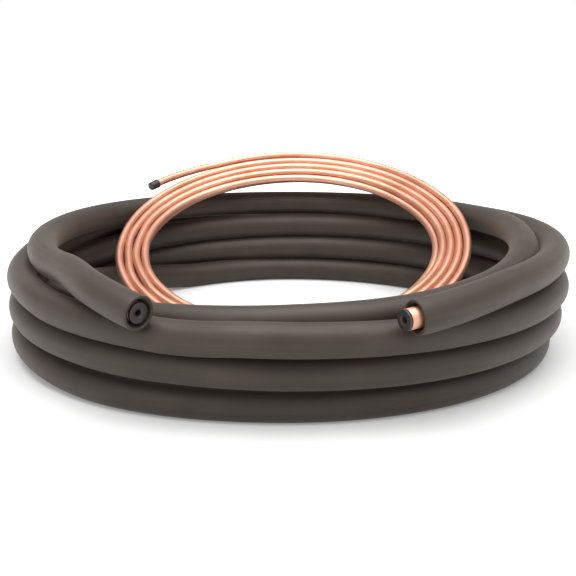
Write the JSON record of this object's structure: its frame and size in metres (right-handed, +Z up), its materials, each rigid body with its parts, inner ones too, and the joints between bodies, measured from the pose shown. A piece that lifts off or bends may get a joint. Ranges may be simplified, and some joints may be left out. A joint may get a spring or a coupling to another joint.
{
  "type": "mini split line set",
  "caption": "Mini split line set: a foam-sleeved copper suction line in a flat coil, with the bare copper liquid line coiled inside it and leaning on its back wall, ends plugged.",
  "frame": {"origin": "on the floor, under the middle of the whole set's bounding box", "axes": "+Z up along the suction coil's axis; -Y is the front, where both ends of the suction line lie on top; the liquid coil leans back towards +Y"},
  "size_m": [0.6394, 0.676, 0.1862],
  "materials": {
    "foam": "matt closed-cell foam",
    "copper": "bright drawn copper",
    "plug_plastic": "moulded black plastic"
  },
  "bodies": {
    "root": {"suction_insulation": "foam", "suction_tube": "copper", "suction_plug_right": "plug_plastic", "suction_plug_left": "plug_plastic", "liquid_tube": "copper", "liquid_cap_hidden": "plug_plastic", "liquid_cap_tail": "plug_plastic"}
  },
  "joints": []
}
